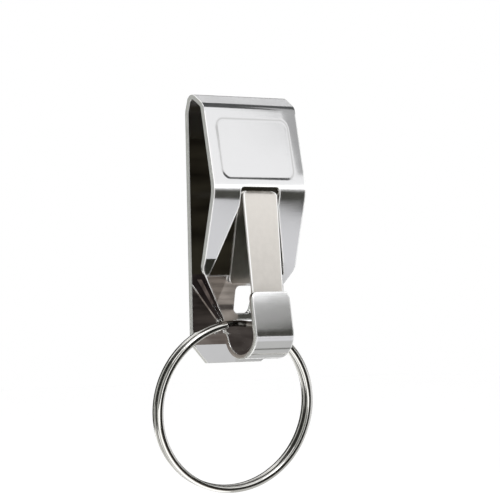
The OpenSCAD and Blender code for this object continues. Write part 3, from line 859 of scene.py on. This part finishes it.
# The hairpin as a sheet: its front leaf leans aside in proportion to the fall from the fold's
# centre, and the fold's crest has rounded shoulders
def makeGate(g):
    hairpin = gatePath(g)
    gateRuns, gateUps = hairpin["run"], hairpin["points"][:, 1]
    foldUp, radius = g["foldCentre"][1], g["foldRadius"]
    top = int(np.argmax(gateUps))
    rearDepths, frontDepths = cornerDepths(g["rearCorner"]), cornerDepths(g["frontCorner"])
    wanted = np.concatenate([
        np.interp(g["rearTip"] + np.concatenate([rimRows, rearDepths]), gateUps[:top], gateRuns[:top]),
        np.interp(-g["frontTip"] - np.concatenate([rimRows, frontDepths]), -gateUps[top:], gateRuns[top:])])
    rows = pathRows(hairpin, 0, gateRuns[-1], wanted, g["runStep"], g["turnStep"])
    up = np.interp(rows, gateRuns, gateUps)
    rear = gateLeaf(g, up, "rearTip", "rearTipHalf", "rearCorner")
    front = gateLeaf(g, up, "frontTip", "frontTipHalf", "frontCorner")
    onRear = rows < gateRuns[top]
    shoulder = g["shoulder"] - cornerHalf(g["shoulder"], g["shoulder"], foldUp + radius - up)
    half = np.where(onRear, rear, front) - shoulder
    lean = g["aside"] * (foldUp - up).clip(0) / (foldUp - g["frontTip"])
    shares = np.linspace(0, 1, g["columns"] + 2)[1:-1]
    columns = legColumns(-half, half, shares) + np.where(onRear, 0, lean)[:, None]
    kept = np.ones((len(rows) - 1, columns.shape[1] - 1), bool)
    foldEnd = gateRuns[top] + radius
    piece = bentSheet("gateHairpin", hairpin, rows, columns, kept, g["thick"],
                      satin=lambda flat: np.clip((flat[:, 1] - foldEnd) / radius, 0, 1),
                      bright=lambda flat: (1, 0))
    dress(piece, "gate")
    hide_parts("gate_spring", "gate")
    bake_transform(piece)
    return piece


makeGate(gate)


ring = {  # mm and degrees
    "outer": 46.0, "radial": 1.75, "axial": 1.83, "pitch": 2.15, "squareness": 2.9,
    "centre": (-4.6, 3.6, -11.6), "yaw": 14.0, "tilt": 8.4, "cut": 99.0, "stepArc": 28.0, "endShort": 1.5,
    "endBevel": 0.25, "endShrink": 0.2,  # the bevel's length, and its depth as a share of the section
    "bevelRow": 0.4,  # where in the bevel a row of points lies
    "flankGain": 2.4,  # how quickly the painted shade on the flanks between the turns comes in
    "turnPoints": 360, "sectionPoints": 32,
}


# The wire's rows: travel in degrees round the ring, the section's size, which closes in over
# the bevel along a quarter circle, and the lead, a half cosine in the step from the front turn
# to the rear one
def ringRows(r, circle):
    sweep = 720 - r["stepArc"] - 2 * r["endShort"]
    bevel = np.degrees(r["endBevel"] / circle)
    inBevel = r["bevelRow"] * bevel
    travel = np.linspace(0, sweep, int(sweep * r["turnPoints"] / 360))
    travel = np.sort(np.concatenate([travel, [inBevel, bevel, sweep - bevel, sweep - inBevel]]))
    toEnd = np.minimum(travel, sweep - travel) / bevel
    closing = 1 - np.sqrt(np.clip(1 - (1 - np.clip(toEnd, 0, 1)) ** 2, 0, 1))
    stepped = np.clip((travel - (360 - r["stepArc"] - r["endShort"])) / r["stepArc"], 0, 1)
    return travel, 1 - r["endShrink"] * closing, r["pitch"] / 2 * np.cos(np.pi * stepped)


# Ring points tilted and then turned about the upright, and put in their place
def placedRing(r, points):
    yaw, tilt = math.radians(-r["yaw"]), math.radians(r["tilt"])
    tilted = np.array([[1, 0, 0], [0, math.cos(tilt), -math.sin(tilt)], [0, math.sin(tilt), math.cos(tilt)]])
    yawed = np.array([[math.cos(yaw), -math.sin(yaw), 0], [math.sin(yaw), math.cos(yaw), 0], [0, 0, 1]])
    centre = np.array([r["centre"][0], -r["centre"][1], r["centre"][2] + plateLow[2]])
    return points @ (yawed @ tilted).T + centre


# Quads along a wire of n rows of m points, and over each end a fan of quads to its middle point,
# which comes after all the rows
def wireQuads(n, m):
    row, place = (v.ravel() for v in np.meshgrid(np.arange(n - 1), np.arange(m), indexing="ij"))
    near, far = row * m, row * m + m
    onward = (place + 1) % m
    tube = np.stack([near + place, near + onward, far + onward, far + place], 1)
    pair = np.arange(0, m, 2)
    last = (n - 1) * m
    first = np.stack([np.full(m // 2, n * m), (pair + 2) % m, pair + 1, pair], 1)
    final = np.stack([np.full(m // 2, n * m + 1), last + pair, last + pair + 1, last + (pair + 2) % m], 1)
    return np.concatenate([tube, first, final])


# A wire carried round two turns. Its section is a squared oval, half its size times
# sign * |cos or sin| ^ (2 / squareness), outward and forward of a circle
def makeRing(r):
    circle = (r["outer"] - r["radial"]) / 2
    travel, size, lead = ringRows(r, circle)
    turn = np.linspace(0, 2 * np.pi, r["sectionPoints"], endpoint=False)
    power = 2 / r["squareness"]
    outward = r["radial"] / 2 * np.sign(np.cos(turn)) * np.abs(np.cos(turn)) ** power
    forward = r["axial"] / 2 * np.sign(np.sin(turn)) * np.abs(np.sin(turn)) ** power
    angle = np.radians(r["cut"] + travel)[:, None]
    reach = circle + outward[None] * size[:, None]
    depth = lead[:, None] + forward[None] * size[:, None]
    points = np.stack([reach * np.cos(angle), -depth, reach * np.sin(angle)], 2)
    ends = points[[0, -1]].mean(1)
    points = placedRing(r, np.concatenate([points.reshape(-1, 3), ends]))
    # Painted shade: 1 on the flank that looks at the other turn, 0 from where the section turns away from it
    facing = -np.sign(lead)[:, None] * np.sin(turn)[None]
    between = np.clip(r["flankGain"] * facing - 1, 0, 1).ravel()
    values = {"rimShare": np.zeros(len(points)), "shadeShare": np.concatenate([between, [0, 0]])}
    piece = surface("splitRing", points * mm, wireQuads(len(travel), r["sectionPoints"]), values)
    dress(piece, "ring")
    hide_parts("split_ring")
    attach(piece, "ring")
    return piece


makeRing(ring)
